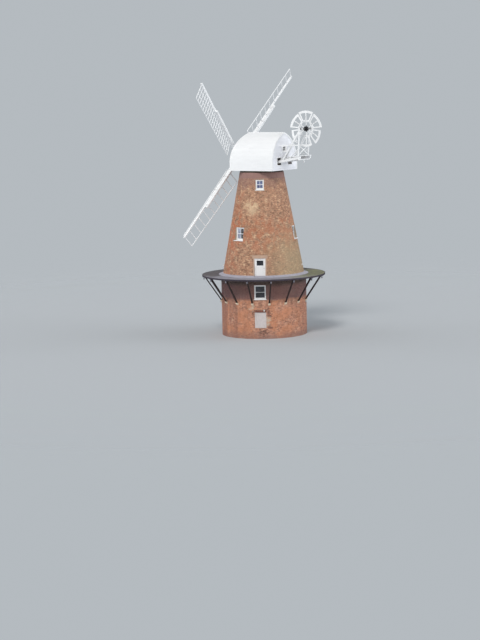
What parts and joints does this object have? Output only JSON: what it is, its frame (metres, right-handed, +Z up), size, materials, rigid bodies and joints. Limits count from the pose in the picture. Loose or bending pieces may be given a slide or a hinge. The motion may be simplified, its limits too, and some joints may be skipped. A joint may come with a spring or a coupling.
{
  "type": "tower windmill",
  "caption": "Round brick tower windmill with a timber gallery, a white boarded cap that turns, four lattice sails and a fantail.",
  "frame": {"origin": "centre of the tower's foot, on the ground", "axes": "+Z up; the sails face -Y and the fantail stands behind the cap on +Y"},
  "size_m": [17.3546, 12.7932, 25.4281],
  "materials": {
    "drum_brick": "weathered brick",
    "cone_brick": "weathered brick",
    "floor_slab": "worn",
    "floor_timber": "bare boards",
    "window_paint": "painted",
    "window_glass": "clear",
    "blocking_cement": "rough render",
    "door_paint": "painted boards",
    "entrance_paint": "painted boards",
    "lamp_housing": "painted",
    "deck_timber": "weathered",
    "strut_timber": "stained",
    "corbel_stone": "rough",
    "kerb_cement": "rough",
    "curb_timber": "oiled",
    "cap_cover": "painted",
    "gable_boards": "painted",
    "cap_timber": "bare",
    "stage_timber": "painted",
    "walkway_timber": "weathered",
    "fan_paint": "painted",
    "fan_iron": "painted",
    "axle_steel": "greased",
    "sail_timber": "painted",
    "stock_timber": "painted",
    "shaft_iron": "painted"
  },
  "bodies": {
    "tower": {"blocked_window_panel": "blocking_cement", "cone_wall_1": "cone_brick", "cone_wall_2": "cone_brick", "cone_wall_3": "cone_brick", "cone_wall_4": "cone_brick", "curb_ring": "curb_timber", "door_frames": "door_paint", "drum_wall_1": "drum_brick", "drum_wall_2": "drum_brick", "drum_wall_3": "drum_brick", "drum_wall_4": "drum_brick", "dust_floor": "floor_timber", "entrance_door": "entrance_paint", "first_floor": "floor_timber", "gallery_deck": "deck_timber", "gallery_joists": "strut_timber", "gallery_struts": "strut_timber", "ground_floor": "floor_slab", "kerb_ring": "kerb_cement", "stage_doors": "door_paint", "stage_floor": "floor_timber", "strut_corbels": "corbel_stone", "tower_glass": "window_glass", "tower_window_frames": "window_paint", "wall_lamps": "lamp_housing", "window_floor": "floor_timber"},
    "sails": {"windshaft": "shaft_iron", "back_stock": "stock_timber", "front_stock": "stock_timber", "sail_1": "sail_timber", "sail_2": "sail_timber", "sail_3": "sail_timber", "sail_4": "sail_timber"},
    "fantail": {"fan_blades": "fan_paint", "fan_spider": "fan_iron", "fan_axle": "axle_steel"},
    "cap": {"cap_ring": "curb_timber", "cap_sheers": "cap_timber", "weather_beam": "cap_timber", "tail_beam": "cap_timber", "rear_beam": "cap_timber", "cap_side_left": "cap_cover", "cap_side_right": "cap_cover", "cap_front": "cap_cover", "cap_gable": "gable_boards", "gable_window_frame": "window_paint", "gable_glass": "window_glass", "fan_beams": "stage_timber", "fan_walkway": "walkway_timber", "fan_platform": "stage_timber", "fan_frames": "stage_timber", "fan_cross_brace": "stage_timber", "stage_drop": "stage_timber", "fan_ladder": "stage_timber"}
  },
  "joints": [
    {"name": "cap_turn", "type": "hinge", "parent": "tower", "child": "cap", "pos_m": [0, 0, 15.82], "axis": [0, 0, 1], "continuous": true},
    {"name": "sails_turn", "type": "hinge", "parent": "cap", "child": "sails", "pos_m": [0, -2.55, 17.18], "axis": [0, -0.9774, 0.2113], "continuous": true},
    {"name": "fantail_spin", "type": "hinge", "parent": "cap", "child": "fantail", "pos_m": [0, 5.15, 19.75], "axis": [1, 0, 0], "continuous": true}
  ]
}
